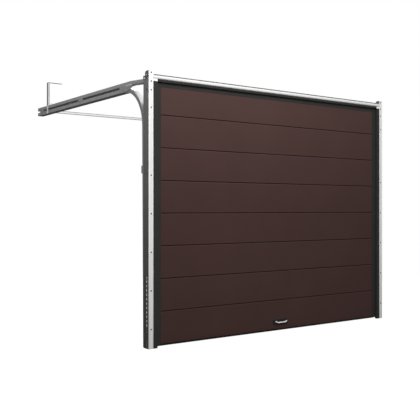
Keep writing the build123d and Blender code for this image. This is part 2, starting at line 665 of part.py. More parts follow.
# Pull handle outside: black plate and bow grip
HANDLE_Z = FLOOR + HANDLE_RISE
PLATE_T = 4.0
with BuildPart() as outer_handle:
    with BuildSketch(Plane.XZ.offset(-LEAF_FRONT)):
        with Locations((HANDLE_X, HANDLE_Z)):
            RectangleRounded(HANDLE_W, HANDLE_H, 8)
    extrude(amount=PLATE_T)
GRIP_Z = HANDLE_Z + HANDLE_H / 2 - GRIP_R - 1
with BuildPart() as outer_grip:
    seat = LEAF_FRONT - PLATE_T
    reach = GRIP_R + 0.5
    with BuildLine() as bow:
        FilletPolyline(
            (HANDLE_X - GRIP_HALF, seat, GRIP_Z), (HANDLE_X - GRIP_HALF, reach, GRIP_Z),
            (HANDLE_X - GRIP_BAR, reach, GRIP_Z - GRIP_LIFT), (HANDLE_X + GRIP_BAR, reach, GRIP_Z - GRIP_LIFT),
            (HANDLE_X + GRIP_HALF, reach, GRIP_Z), (HANDLE_X + GRIP_HALF, seat, GRIP_Z),
            radius=GRIP_R + 0.5,
        )
    with BuildSketch(Plane(origin=(HANDLE_X - GRIP_HALF, seat, GRIP_Z), x_dir=(1, 0, 0), z_dir=(0, -1, 0))):
        RegularPolygon(GRIP_R, GRIP_SIDES, rotation=180 / GRIP_SIDES)
    sweep(path=bow.line)

# Plain pull bow inside
INNER_REACH = 36.0
with BuildPart() as inner_handle:
    with BuildLine() as inner_bow:
        FilletPolyline(
            (HANDLE_X - 70, LEAF_BACK, HANDLE_Z), (HANDLE_X - 70, LEAF_BACK + INNER_REACH, HANDLE_Z),
            (HANDLE_X + 70, LEAF_BACK + INNER_REACH, HANDLE_Z), (HANDLE_X + 70, LEAF_BACK, HANDLE_Z),
            radius=14,
        )
    with BuildSketch(Plane(origin=(HANDLE_X - 70, LEAF_BACK, HANDLE_Z), x_dir=(1, 0, 0), z_dir=(0, 1, 0))):
        RegularPolygon(GRIP_R, GRIP_SIDES, rotation=180 / GRIP_SIDES)
    sweep(path=inner_bow.line)


def save(part, name):
    part.label = name
    export_step(part, "parts/" + name + ".step")


SINGLE = {
    "header_face": header_face.part,
    "header_beam": header_beam.part,
    "top_seal": top_seal.part,
    "rear_spreader": rear_spreader.part,
    "bottom_section": bottom_section.part,
    "lower_middle_section": lower_middle_section.part,
    "upper_middle_section": upper_middle_section.part,
    "top_section": top_section.part,
    "bottom_rail": bottom_rail.part,
    "bottom_seal": bottom_seal.part,
    "centre_hinges": centre_hinges.part,
    "outer_handle": outer_handle.part,
    "outer_grip": outer_grip.part,
    "inner_handle": inner_handle.part,
}
for name, part in SINGLE.items():
    save(part, name)

# Side pieces are modelled on the left and mirrored to the right
SIDED = {
    "jamb_angle": left_jamb_angle.part,
    "spring_housing": left_spring_housing.part,
    "side_seal": left_side_seal.part,
    "vertical_track": left_vertical_track.part,
    "track_bend": left_track_bend.part,
    "lower_rail": left_lower_rail.part,
    "upper_rail": left_upper_rail.part,
    "track_plates": left_track_plates.part,
    "pulley_bracket": left_pulley_bracket.part,
    "end_caps": left_end_caps.part,
    "roller_carriers": left_roller_carriers.part,
    "rollers": left_rollers.part,
}
for name, part in SIDED.items():
    save(part, "left_" + name)
    save(part.mirror(Plane.YZ), "right_" + name)

# Left and right pieces that share one file
PAIRED = {
    "anchor_strips": left_anchor_strip.part,
    "hangers": left_hanger.part,
    "pulleys": left_pulley_in_place,
    "springs": left_spring.part,
    "lift_cables": left_lift_cable.part,
}
for name, part in PAIRED.items():
    save(Part() + [part, part.mirror(Plane.YZ)], name)
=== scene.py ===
import json
import math

import bmesh
import bpy
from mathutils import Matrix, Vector


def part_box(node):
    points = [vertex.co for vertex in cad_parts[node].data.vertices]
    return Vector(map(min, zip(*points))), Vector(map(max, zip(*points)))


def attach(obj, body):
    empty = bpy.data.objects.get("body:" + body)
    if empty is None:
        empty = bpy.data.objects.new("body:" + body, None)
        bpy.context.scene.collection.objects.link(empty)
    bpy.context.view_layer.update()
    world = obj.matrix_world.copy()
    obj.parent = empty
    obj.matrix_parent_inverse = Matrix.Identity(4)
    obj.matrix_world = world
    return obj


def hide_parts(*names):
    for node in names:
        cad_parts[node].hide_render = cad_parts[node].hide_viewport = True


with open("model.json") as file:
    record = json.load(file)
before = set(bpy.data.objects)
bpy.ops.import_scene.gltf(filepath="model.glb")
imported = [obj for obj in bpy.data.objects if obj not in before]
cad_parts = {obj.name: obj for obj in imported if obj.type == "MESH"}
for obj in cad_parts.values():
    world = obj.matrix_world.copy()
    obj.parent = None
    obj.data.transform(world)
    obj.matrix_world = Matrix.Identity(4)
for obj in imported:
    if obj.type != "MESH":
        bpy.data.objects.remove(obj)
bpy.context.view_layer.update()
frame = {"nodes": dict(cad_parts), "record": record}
nodes = frame["nodes"]

# Levels and edges of the door, read from the frame
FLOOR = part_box("left_jamb_angle")[0][2]
HALF = -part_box("left_jamb_angle")[0][0]
LEAF_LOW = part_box("bottom_section")[0][2]
LEAF_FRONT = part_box("bottom_section")[0][1]
LEAF_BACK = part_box("bottom_section")[1][1]
LEAF_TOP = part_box("top_section")[1][2]
LEAF_HALF = -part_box("left_end_caps")[0][0]
CAP_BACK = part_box("left_end_caps")[1][1]
HEADER_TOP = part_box("header_face")[1][2]
SECTION_H = (LEAF_TOP - LEAF_LOW) / 4
JOINTS = [LEAF_LOW + SECTION_H * count for count in (1, 2, 3)]
RAIL_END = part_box("left_lower_rail")[1][1]
BEND_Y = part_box("left_lower_rail")[0][1]
LOWER_Z = (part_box("left_lower_rail")[0][2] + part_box("left_lower_rail")[1][2]) / 2
HANGER_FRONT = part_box("hangers")[0][1]
HANGER_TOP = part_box("hangers")[1][2]
SPRING_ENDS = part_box("springs")[0][2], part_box("springs")[1][2]
SHEAVE = [(low + high) / 2 for low, high in zip(*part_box("pulleys"))]

# Sizes that the frame doesn't hold, and the levels that follow from them
WHEEL_R = 0.0137
TOP_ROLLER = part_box("left_rollers")[1][2] - WHEEL_R
HEADER_LOW = HEADER_TOP - 0.030
UPPER_Z = LOWER_Z + 0.050
BEND_R = 0.318
TRACK_HALF = 0.016
PLATE_T = 0.0025
WALL_HOLES = (0.155, 0.460, 0.765, 1.070, 1.375, 1.912, 2.050, 2.119, 2.188)
WALL_HOLE_IN = 0.0235

# Places where the finishes change, and where light and shade are painted
FOOT_SHADE_HEIGHT = 0.9
PRESSED_IN, PRESSED_OUT = 0.031, 0.015
HEADER_SPLIT, HEADER_FOOT_EDGE, HEADER_TOP_EDGE = 0.0145, 0.006, 0.005
SLOT_Y, SLOT_DROPS = (0.018, 0.042), (0.082, 0.058)
FOOT_HOLE_Y, FOOT_HOLE_PITCH, FOOT_HOLE_START = 0.031, 0.0174, 0.350
# Pale marks of painted light round the housing foot's holes
HOLE_LIGHT_LOW, HOLE_LIGHT_HIGH = 0.160, 0.569
HOLE_LIGHT_HALF_Y, HOLE_LIGHT_HALF_Z, HOLE_LIGHT_FACE = 0.0058, 0.0076, 0.0020
WELD_PITCH_Y, WELD_PITCH_Z, WELD_START_DROP = 0.030, 0.025, 0.5
WELD_RING = (0.0016, 0.0026)
GUSSET_BACK, GUSSET_RIM_DROPS = 0.370, (0.019, 0.010)
SPREADER_FACE_DROPS = (0.023, 0.006)
HANGER_FLANGE, HANGER_LEG = 0.0027, 0.0055
GROOVE, GROOVE_HIGHLIGHT = (-0.0035, 0.0045), (-0.0085, -0.0045)
RIBS, RIB = 7, (0.004, 0.009)
SKIN_BACK = 0.040
FOOT_EDGE = 0.027
WHEEL_IN = 0.040

INWARD, OUTWARD, UPWARD = (0, 1, 0), (0, -1, 0), (0, 0, 1)


def grey(level):
    return (level,) * 3


# Node helpers for procedural materials
class Mat:
    def __init__(self, name):
        self.mat = bpy.data.materials.new(name)
        self.mat.use_nodes = True
        self.tree = self.mat.node_tree
        self.bsdf = self.tree.nodes["Principled BSDF"]
        self.coords = self.tree.nodes.new("ShaderNodeTexCoord").outputs["Object"]

    def node(self, kind, **values):
        made = self.tree.nodes.new(kind)
        for key, value in values.items():
            if key in made.inputs:
                made.inputs[key].default_value = value
            else:
                setattr(made, key, value)
        return made

    def link(self, a, b):
        self.tree.links.new(a, b)

    def set(self, socket, value):
        if isinstance(value, bpy.types.NodeSocket):
            self.link(value, socket)
        elif isinstance(value, tuple):
            socket.default_value = (*value, 1)
        else:
            socket.default_value = value

    def axis(self, letter):
        made = self.node("ShaderNodeSeparateXYZ")
        self.link(self.coords, made.inputs[0])
        return made.outputs[letter]

    def maths(self, operation, a, b=0.0):
        made = self.node("ShaderNodeMath", operation=operation)
        for socket, value in zip(made.inputs, (a, b)):
            self.set(socket, value)
        return made.outputs[0]

    def times(self, a, b):
        return self.maths("MULTIPLY", a, b)

    def minus(self, a, b):
        return self.maths("SUBTRACT", a, b)

    def unsigned(self, a):
        return self.maths("ABSOLUTE", a)

    def length(self, a, b):
        # Length of the vector with the parts a and b
        squares = self.maths("ADD", self.maths("POWER", a, 2.0), self.maths("POWER", b, 2.0))
        return self.maths("SQRT", squares)

    def wrapped(self, source, start, pitch):
        # Distance past the last of a row of marks that lie one pitch apart
        return self.maths("MODULO", self.minus(source, start), pitch)

    def remap(self, source, low, high, to_low=0.0, to_high=1.0):
        made = self.node("ShaderNodeMapRange")
        names = ("From Min", "From Max", "To Min", "To Max")
        for key, value in zip(names, (low, high, to_low, to_high)):
            made.inputs[key].default_value = value
        self.link(source, made.inputs["Value"])
        return made.outputs["Result"]

    def above(self, source, level, soft):
        # 1 above the level, 0 below it, with a soft edge
        return self.remap(source, level - soft, level + soft)

    def below(self, source, level, soft):
        # 1 below the level, 0 above it, with a soft edge
        return self.remap(source, level - soft, level + soft, 1.0, 0.0)

    def band(self, source, low, high, soft):
        # 1 between low and high, 0 outside, with soft edges
        return self.times(self.above(source, low, soft), self.below(source, high, soft))

    def mix(self, factor, a, b):
        made = self.node("ShaderNodeMix", data_type="RGBA")
        self.set(made.inputs["Factor"], factor)
        self.set(made.inputs["A"], a)
        self.set(made.inputs["B"], b)
        return made.outputs["Result"]

    def noise(self, scale, detail=3.0, rough=0.55, stretch=(1, 1, 1)):
        mapping = self.node("ShaderNodeMapping")
        mapping.inputs["Scale"].default_value = stretch
        self.link(self.coords, mapping.inputs["Vector"])
        made = self.node("ShaderNodeTexNoise", Scale=scale, Detail=detail, Roughness=rough)
        self.link(mapping.outputs["Vector"], made.inputs["Vector"])
        return made.outputs["Fac"]

    def ramp(self, source, stops):
        made = self.node("ShaderNodeValToRGB")
        ramp = made.color_ramp
        for element, (place, colour) in zip(ramp.elements, stops):
            element.position = place
            element.color = (*(colour if isinstance(colour, tuple) else grey(colour)), 1)
        self.link(source, made.inputs["Fac"])
        return made.outputs["Color"]

    def cloud(self, scale, detail, low, high, rough=0.55):
        # Colour that drifts between two tones
        return self.ramp(self.noise(scale, detail, rough), [(0.3, low), (0.7, high)])

    def spangle(self, low, high):
        # Zinc crystals of slightly different tones
        made = self.node("ShaderNodeTexVoronoi", Scale=55.0)
        self.link(self.coords, made.inputs["Vector"])
        return self.ramp(made.outputs["Color"], [(0.0, low), (1.0, high)])

    def wear(self, scale, detail, low, high):
        # Roughness that varies over the surface
        return self.remap(self.noise(scale, detail), 0.3, 0.7, low, high)

    def bump(self, height, strength, distance):
        made = self.node("ShaderNodeBump", Strength=strength, Distance=distance)
        self.link(height, made.inputs["Height"])
        if self.bsdf.inputs["Normal"].is_linked:
            self.link(self.bsdf.inputs["Normal"].links[0].from_socket, made.inputs["Normal"])
        self.link(made.outputs["Normal"], self.bsdf.inputs["Normal"])

    def rolled(self, strength=0.10):
        # Fine grain along the rolled sheet
        self.bump(self.noise(500.0, 2, 0.5, (1, 0.12, 1)), strength, 0.0003)

    def finish(self, colour, rough, metal=0.0, spec=0.5):
        self.set(self.bsdf.inputs["Base Color"], colour)
        self.set(self.bsdf.inputs["Roughness"], rough)
        self.bsdf.inputs["Metallic"].default_value = metal
        self.bsdf.inputs["Specular IOR Level"].default_value = spec
        return self.mat


def white_paint():
    # Painted shade darkening towards the foot, and a little darker down the pressed channel
    m = Mat("white_paint")
    m.bump(m.noise(900.0, 2), 0.08, 0.0004)
    unshaded_top = m.cloud(3.0, 4, (0.90, 0.90, 0.89), (0.94, 0.94, 0.93))
    # painted shade: a darker copy of the white for the foot
    white_foot_shade = m.cloud(3.0, 4, (0.72, 0.72, 0.71), (0.76, 0.76, 0.75))
    paint = m.mix(m.remap(m.axis("Z"), FLOOR, FLOOR + FOOT_SHADE_HEIGHT), white_foot_shade, unshaded_top)
    pressed = m.band(m.unsigned(m.axis("X")), HALF - PRESSED_IN, HALF - PRESSED_OUT, 0.0008)
    colour = m.mix(pressed, paint, (0.82, 0.82, 0.81))
    return m.finish(colour, m.wear(40.0, 3, 0.34, 0.46), 0.0, 0.1)


def header_white():
    # Off-white band with painted shade: darker below its middle, and grey where its sheet turns back
    # along both edges
    m = Mat("header_white")
    m.bump(m.noise(900.0, 2), 0.08, 0.0004)
    # painted shade: the lower half is a darker copy of the upper white
    lower = m.cloud(3.0, 4, (0.66, 0.66, 0.65), (0.70, 0.70, 0.69))
    upper = m.cloud(3.0, 4, (0.88, 0.88, 0.87), (0.92, 0.92, 0.91))
    face = m.mix(m.above(m.axis("Z"), HEADER_TOP - HEADER_SPLIT, 0.0015), lower, upper)
    # painted shade: grey strips along both turned-back edges
    flat = m.band(m.axis("Z"), HEADER_LOW + HEADER_FOOT_EDGE, HEADER_TOP - HEADER_TOP_EDGE, 0.0005)
    band = m.mix(m.minus(1.0, flat), face, grey(0.26))
    tab = m.below(m.axis("Z"), HEADER_LOW, 0.0002)
    colour = m.mix(tab, band, (0.92, 0.92, 0.91))
    return m.finish(colour, m.wear(40.0, 3, 0.34, 0.46), 0.0, 0.3)


def track_grey():
    m = Mat("track_grey")
    m.rolled()
    return m.finish(m.cloud(14.0, 5, 0.23, 0.27, 0.6), m.wear(60.0, 4, 0.42, 0.58), 0.0, 0.01)


def rail_grey():
    # Coated like the tracks, with painted shade on the lower rail's underside
    m = Mat("rail_grey")
    m.rolled()
    coat = m.cloud(14.0, 5, 0.245, 0.285, 0.6)
    # painted shade: the lower rail's underside is near-black
    underside_shade = m.below(m.axis("Z"), LOWER_Z - TRACK_HALF + 0.00045, 0.00015)
    return m.finish(m.mix(underside_shade, coat, grey(0.032)), m.wear(60.0, 4, 0.42, 0.58), 0.0, 0.01)


def bracket_grey():
    # Darker plate, with painted shade in black behind the housing's slot, where the hole there lies in
    # shade
    m = Mat("bracket_grey")
    m.rolled()
    coat = m.cloud(14.0, 5, 0.10, 0.12, 0.6)
    # painted shade: a black patch behind the slot
    slot_y = m.band(m.axis("Y"), *SLOT_Y, 0.001)
    slot_z = m.band(m.axis("Z"), LEAF_TOP - SLOT_DROPS[0], LEAF_TOP - SLOT_DROPS[1], 0.001)
    return m.finish(m.mix(m.times(slot_y, slot_z), coat, grey(0.004)), 0.5, 0.0, 0.01)


def housing_grey():
    # Painted shade darker towards the foot, with painted light as pale marks round every second hole of
    # the foot's front column
    m = Mat("housing_grey")
    m.rolled()
    unshaded_top = m.cloud(14.0, 5, 0.155, 0.170, 0.6)
    # painted shade: a darker copy of the coat for the foot
    grey_foot_shade = m.cloud(14.0, 5, 0.055, 0.065, 0.6)
    coat = m.mix(m.remap(m.axis("Z"), FLOOR, LEAF_TOP), grey_foot_shade, unshaded_top)
    # The row starts well below the floor, so that no distance along it is negative
    start = FLOOR + FOOT_HOLE_START - 100 * FOOT_HOLE_PITCH
    along = m.wrapped(m.axis("Z"), start, 2 * FOOT_HOLE_PITCH)
    along = m.below(m.unsigned(m.minus(along, FOOT_HOLE_PITCH / 2)), HOLE_LIGHT_HALF_Z, 0.0004)
    across = m.below(m.unsigned(m.minus(m.axis("Y"), FOOT_HOLE_Y)), HOLE_LIGHT_HALF_Y, 0.0004)
    foot = m.band(m.axis("Z"), FLOOR + HOLE_LIGHT_LOW, FLOOR + HOLE_LIGHT_HIGH, 0.001)
    outside = m.above(m.unsigned(m.axis("X")), HALF - HOLE_LIGHT_FACE, 0.0001)
    # painted light: pale marks round the holes stand for light seen through them
    bare_and_hole_light = m.times(m.times(m.times(across, along), foot), outside)
    return m.finish(m.mix(bare_and_hole_light, coat, grey(0.90)), m.wear(60.0, 4, 0.42, 0.58), 0.0, 0.01)


def bend_grey():
    # Coated a little darker than the rails, with a painted highlight in bright metallic zinc on the
    # curve's outer flange
    m = Mat("bend_grey")
    m.rolled(0.08)
    back = m.minus(m.axis("Y"), BEND_Y)
    up = m.minus(m.axis("Z"), LOWER_Z - BEND_R)
    outer = m.above(m.length(back, up), BEND_R + TRACK_HALF - 0.0004, 0.0002)
    # painted highlight: the outer flange is bright, standing for the light it catches
    colour = m.mix(outer, m.cloud(14.0, 5, 0.17, 0.20, 0.6), m.spangle(0.86, 0.94))
    m.finish(colour, m.wear(60.0, 4, 0.32, 0.44), 0.0, 0.02)
    m.link(outer, m.bsdf.inputs["Metallic"])
    return m.mat


def plate_grey():
    # Tie plates with rows of spot welds, and a light rim along the gusset's top edge
    m = Mat("plate_grey")
    weld_y = m.minus(m.wrapped(m.axis("Y"), 0.0, WELD_PITCH_Y), WELD_PITCH_Y / 2)
    weld_z = m.wrapped(m.axis("Z"), LOWER_Z - WELD_START_DROP, WELD_PITCH_Z)
    weld_z = m.minus(weld_z, WELD_PITCH_Z / 2)
    spot = m.band(m.length(weld_y, weld_z), *WELD_RING, 0.0003)
    rim = m.band(m.axis("Z"), UPPER_Z - GUSSET_RIM_DROPS[0], UPPER_Z - GUSSET_RIM_DROPS[1], 0.0005)
    rim = m.times(rim, m.below(m.axis("Y"), GUSSET_BACK, 0.002))
    coat = m.mix(rim, m.cloud(14.0, 5, 0.22, 0.25, 0.6), grey(0.50))
    m.bump(m.minus(1.0, spot), 0.3, 0.0004)
    return m.finish(m.mix(m.times(spot, 0.5), coat, grey(0.12)), 0.5, 0.0, 0.01)


def dark_seal():
    m = Mat("dark_seal")
    m.bump(m.noise(1400.0, 2), 0.15, 0.0003)
    soft = m.cloud(6.0, 4, (0.029, 0.029, 0.028), (0.033, 0.033, 0.032))
    return m.finish(soft, m.wear(30.0, 3, 0.55, 0.7), 0.0, 0.06)


def leaf_coat():
    # Brown outer skin with painted light making it lighter towards the top, and a pale inner skin
    m = Mat("leaf_coat")
    deep = m.cloud(2.5, 3, (0.060, 0.033, 0.030), (0.065, 0.036, 0.033))
    painted_lit_top = m.cloud(2.5, 3, (0.073, 0.041, 0.037), (0.079, 0.045, 0.041))
    outer = m.mix(m.remap(m.axis("Z"), JOINTS[1], LEAF_TOP), deep, painted_lit_top)
    # Grooves lie at every half section, with painted shade inside and a painted highlight just below
    quarter = SECTION_H / 4
    rise = m.wrapped(m.axis("Z"), LEAF_LOW - quarter, 2 * quarter)
    groove_shade = m.band(rise, quarter + GROOVE[0], quarter + GROOVE[1], 0.001)
    groove_highlight = m.band(rise, quarter + GROOVE_HIGHLIGHT[0], quarter + GROOVE_HIGHLIGHT[1], 0.001)
    outer = m.mix(m.times(groove_shade, 0.8), outer, (0.008, 0.005, 0.005))
    outer = m.mix(m.times(groove_highlight, 0.35), outer, (0.12, 0.085, 0.08))
    # The inner skin is rolled with flat ribs and a fine stucco emboss
    rib = m.band(m.wrapped(m.axis("Z"), LEAF_LOW, SECTION_H / RIBS), *RIB, 0.002)
    inner = m.cloud(2.5, 3, (0.66, 0.66, 0.63), (0.70, 0.70, 0.67))
    inner = m.mix(m.times(rib, 0.35), inner, (0.40, 0.40, 0.38))
    behind = m.remap(m.axis("Y"), SKIN_BACK, SKIN_BACK + 0.0001)
    m.bump(m.noise(260.0, 4, 0.6, (0.25, 1, 1)), 0.15, 0.0006)
    m.bump(m.times(behind, m.minus(1.0, rib)), 0.5, 0.001)
    return m.finish(m.mix(behind, outer, inner), m.wear(30.0, 3, 0.50, 0.62), 0.0, 0.03)


def foot_rail():
    # Coated like the leaf in front, bare alloy inside, dark along its lower edge
    m = Mat("foot_rail")
    coat = m.cloud(3.0, 3, (0.056, 0.029, 0.026), (0.060, 0.031, 0.028))
    coat = m.mix(m.above(m.axis("Z"), FLOOR + FOOT_EDGE, 0.001), (0.010, 0.008, 0.008), coat)
    bare_and_hole_light = m.ramp(m.noise(700.0, 2, 0.5, (0.03, 1, 1)), [(0.3, 0.40), (0.7, 0.48)])
    m.bump(m.noise(260.0, 3, 0.6, (0.25, 1, 1)), 0.12, 0.0005)
    inner = m.remap(m.axis("Y"), LEAF_BACK - 0.001, LEAF_BACK - 0.0009)
    return m.finish(m.mix(inner, coat, bare_and_hole_light), m.wear(40.0, 3, 0.46, 0.56), 0.0, 0.03)


def zinc(name="zinc", level=0.52, metal=0.65):
    m = Mat(name)
    m.bump(m.noise(700.0, 2), 0.06, 0.0003)
    tone = m.spangle(level * 0.88, level * 1.08)
    return m.finish(tone, m.wear(25.0, 4, 0.34, 0.5), metal, 0.5)


def spreader_zinc():
    # Bright bar with painted shade in grey on its folded edges
    m = Mat("spreader_zinc")
    m.bump(m.noise(700.0, 2), 0.05, 0.0003)
    low, high = (UPPER_Z - drop for drop in SPREADER_FACE_DROPS)
    # painted shade: grey outside the face band, on the folded edges
    colour = m.mix(m.band(m.axis("Z"), low, high, 0.001), grey(0.24), m.spangle(0.92, 0.97))
    return m.finish(colour, m.wear(25.0, 4, 0.4, 0.5), 0.0, 0.4)


def hanger_zinc():
    # Painted light and shade: front flange and foot lit bright, the web above the rails and the level leg
    # painted dark as shade
    m = Mat("hanger_zinc")
    m.bump(m.noise(700.0, 2), 0.06, 0.0003)
    front = m.below(m.axis("Y"), HANGER_FRONT + HANGER_FLANGE, 0.0001)
    foot = m.below(m.axis("Z"), UPPER_Z + TRACK_HALF, 0.001)
    upright = m.below(m.axis("Z"), HANGER_TOP - HANGER_LEG, 0.0005)
    light = m.times(m.maths("MAXIMUM", front, foot), upright)
    # painted light and shade on one zinc strap
    colour = m.mix(light, grey(0.10), m.spangle(0.56, 0.64))
    return m.finish(colour, m.wear(25.0, 4, 0.4, 0.55), 0.0, 0.1)


def alloy():
    m = Mat("alloy")
    brush = m.noise(900.0, 2, 0.5, (0.03, 1, 1))
    m.bump(brush, 0.12, 0.0003)
    tone = m.ramp(brush, [(0.3, 0.66), (0.7, 0.76)])
    return m.finish(tone, m.wear(40.0, 3, 0.28, 0.4), 0.35)


def black_plastic():
    m = Mat("black_plastic")
    m.bump(m.noise(1100.0, 2), 0.2, 0.0003)
    tone = m.cloud(20.0, 3, (0.007, 0.006, 0.006), (0.010, 0.009, 0.009))
    return m.finish(tone, m.wear(60.0, 3, 0.4, 0.5), 0.0, 0.12)


def rope_steel():
    # Twisted strands along each upright cable
    m = Mat("rope_steel")
    strands = m.node("ShaderNodeTexWave", Scale=260.0, Distortion=0.0, bands_direction="DIAGONAL")
    m.link(m.coords, strands.inputs["Vector"])
    m.bump(strands.outputs["Fac"], 0.6, 0.0004)
    tone = m.ramp(strands.outputs["Fac"], [(0.2, 0.16), (0.8, 0.42)])
    return m.finish(tone, m.wear(50.0, 3, 0.32, 0.44), 0.5)


def bright_grip():
    m = Mat("bright_grip")
    m.bump(m.noise(900.0, 2, 0.5, (0.05, 1, 1)), 0.08, 0.0002)
    return m.finish(m.cloud(60.0, 3, 0.84, 0.92), m.wear(40.0, 3, 0.24, 0.32), 0.15)


def rubber():
    # Fine ribs along the seal
    m = Mat("rubber")
    m.bump(m.band(m.wrapped(m.axis("Z"), FLOOR, 0.0025), 0.0004, 0.0012, 0.0003), 0.4, 0.0005)
    m.bump(m.noise(700.0, 3), 0.25, 0.0004)
    return m.finish(m.cloud(12.0, 3, 0.014, 0.022), 0.75, 0.0, 0.25)


def roller_finish():
    # Pale wheels out in the tracks, on steel pins
    m = Mat("roller_finish")
    m.bump(m.noise(900.0, 2), 0.1, 0.0003)
    wheel = m.above(m.unsigned(m.axis("X")), HALF - WHEEL_IN, 0.0002)
    nylon = m.cloud(80.0, 3, (0.62, 0.62, 0.60), (0.68, 0.68, 0.65))
    return m.finish(m.mix(wheel, m.cloud(300.0, 3, 0.42, 0.5), nylon), 0.38)


def spring_steel():
    m = Mat("spring_steel")
    m.bump(m.noise(900.0, 2), 0.1, 0.0002)
    return m.finish(m.cloud(60.0, 4, 0.10, 0.16), m.wear(50.0, 3, 0.3, 0.42), 0.7)


MATS = {
    "white_paint": white_paint(),
    "track_grey": track_grey(),
    "dark_seal": dark_seal(),
    "brown_coat": leaf_coat(),
    "zinc": zinc(),
    "edge_alloy": alloy(),
    "rubber_seal": rubber(),
    "black_plate": black_plastic(),
    "grip_alloy": bright_grip(),
    "roller_nylon": roller_finish(),
    "spring_steel": spring_steel(),
    "cable_steel": rope_steel(),
}

# Nodes whose finish differs from the rest of their slot
OWN = {
    "bottom_rail": foot_rail(),
    "header_face": header_white(),
    "header_beam": zinc("beam_zinc", 0.06, 0.0),
    "rear_spreader": spreader_zinc(),
    "hangers": hanger_zinc(),
    # painted light: the strip behind the perforations is near-white so the holes read bright, as light
    # through them would
    "anchor_strips": zinc("strip_zinc_painted_light", 0.92, 0.0),
}
rails = rail_grey()
SIDE_OWN = {
    "spring_housing": housing_grey(),
    "pulley_bracket": bracket_grey(),
    "track_bend": bend_grey(),
    "track_plates": plate_grey(),
    "lower_rail": rails,
    "upper_rail": rails,
}
for kind, own in SIDE_OWN.items():
    OWN["left_" + kind] = OWN["right_" + kind] = own

for entry in frame["record"]["subparts"]:
    slots = nodes[entry["node"]].data.materials
    slots.clear()
    slots.append(OWN.get(entry["node"], MATS[entry["material_slot"]]))


def piece(name, mesh, slot, stands_for=()):
    # Turns a bmesh into a piece that rides on the door
    data = bpy.data.meshes.new(name)
    mesh.to_mesh(data)
    mesh.free()
    made = bpy.data.objects.new(name, data)
    bpy.context.collection.objects.link(made)
    data.materials.append(MATS[slot])
    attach(made, "root")
    if stands_for:
        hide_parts(*stands_for)


def skin(mesh, loops, smooth):
    # Joins rings of vertices into a closed tube
    count = len(loops[0])
    for a, b in zip(loops, loops[1:]):
        for step in range(count):
            nxt = (step + 1) % count
            mesh.faces.new((a[step], a[nxt], b[nxt], b[step])).smooth = smooth
    mesh.faces.new(list(reversed(loops[0])))
    mesh.faces.new(loops[-1])


def lathe(mesh, centre, axis, rings, sides, smooth=True):
    # Adds a turned solid: rings are (distance along the axis, radius) pairs
    turn = Vector(axis).to_track_quat("Z", "Y").to_matrix()
    loops = []
    for along, radius in rings:
        loop = []
        for step in range(sides):
            angle = 2 * math.pi * step / sides
            point = Vector((radius * math.cos(angle), radius * math.sin(angle), along))
            loop.append(mesh.verts.new(Vector(centre) + turn @ point))
        loops.append(loop)
    skin(mesh, loops, smooth)


def wire(mesh, points, radius, sides):
    # Round wire through a list of points; no stretch of it may run along the slant
    slant = Vector((0.13, 0.27, 0.95))
    loops = []
    for index, point in enumerate(points):
        ahead = points[min(index + 1, len(points) - 1)]
        behind = points[max(index - 1, 0)]
        along = (ahead - behind).normalized()
        aside = along.cross(slant).normalized()
        over = along.cross(aside)
        loop = []
        for step in range(sides):
            angle = 2 * math.pi * step / sides
            offset = math.cos(angle) * aside + math.sin(angle) * over
            loop.append(mesh.verts.new(point + radius * offset))
        loops.append(loop)
    skin(mesh, loops, True)


def hex_bolt(mesh, centre, axis, size, tall):
    # Hexagon head with a chamfered top on a flat washer
    washer = [(0.0, size * 1.25), (0.0011, size * 1.25), (0.0012, size * 1.2)]
    lathe(mesh, centre, axis, washer, 24)
    head = [(0.0012, size), (tall - 0.0008, size), (tall, size * 0.86)]
    lathe(mesh, centre, axis, head, 6, False)


def rivet(mesh, centre, axis, size):
    # Domed rivet head
    dome = [(0.0, size), (size * 0.25, size * 0.95), (size * 0.45, size * 0.7), (size * 0.55, size * 0.3)]
    lathe(mesh, centre, axis, dome, 16)


# Dark liners in the white angle's wall holes, with a shallow cup and a flush rim: painted shade standing
# for the dark inside each hole
HOLE_LINER = [
    (-0.0030, 0.0042), (0.0, 0.0042), (0.0, 0.0062), (0.0004, 0.0062),
    (0.0006, 0.0058), (0.0006, 0.0030), (-0.0012, 0.0028),
]
HOLE_LINER_Y = 0.0008
hole_shade_liners = bmesh.new()
for side in (-1, 1):
    for height in WALL_HOLES:
        lathe(hole_shade_liners, (side * (HALF - WALL_HOLE_IN), HOLE_LINER_Y, FLOOR + height), OUTWARD, HOLE_LINER, 24)
piece("wall_hole_shade_liners", hole_shade_liners, "black_plate")

# Bolts of the roller carriers and rivets of the end caps, on the inner face
CARRIER_BOLT = (0.0055, 0.0042)
CARRIER_IN = (0.017, 0.053)
CARRIER_STEPS, TOP_CARRIER_STEPS = (-0.030, 0.030), (-0.030, 0.014)
FOOT_CARRIER_RISE, TOP_CARRIER_DROP = 0.085, 0.041
CAP_RIVET_IN, CAP_RIVET_RISES, CAP_RIVET_R = 0.064, (0.065, 0.180, 0.345, 0.460), 0.0035
carrier_face = CAP_BACK + PLATE_T
carriers = [(height, CARRIER_STEPS) for height in [FLOOR + FOOT_CARRIER_RISE] + JOINTS]
carriers.append((TOP_ROLLER - TOP_CARRIER_DROP, TOP_CARRIER_STEPS))
bolts, rivets = bmesh.new(), bmesh.new()
for side in (-1, 1):
    for inset in CARRIER_IN:
        for height, steps in carriers:
            for step in steps:
                spot = (side * (LEAF_HALF - inset), carrier_face, height + step)
                hex_bolt(bolts, spot, INWARD, *CARRIER_BOLT)
    for count in range(4):
        for rise in CAP_RIVET_RISES:
            height = LEAF_LOW + count * SECTION_H + rise
            rivet(rivets, (side * (LEAF_HALF - CAP_RIVET_IN), CAP_BACK, height), INWARD, CAP_RIVET_R)
piece("carrier_bolts", bolts, "zinc")
piece("cap_rivets", rivets, "zinc")

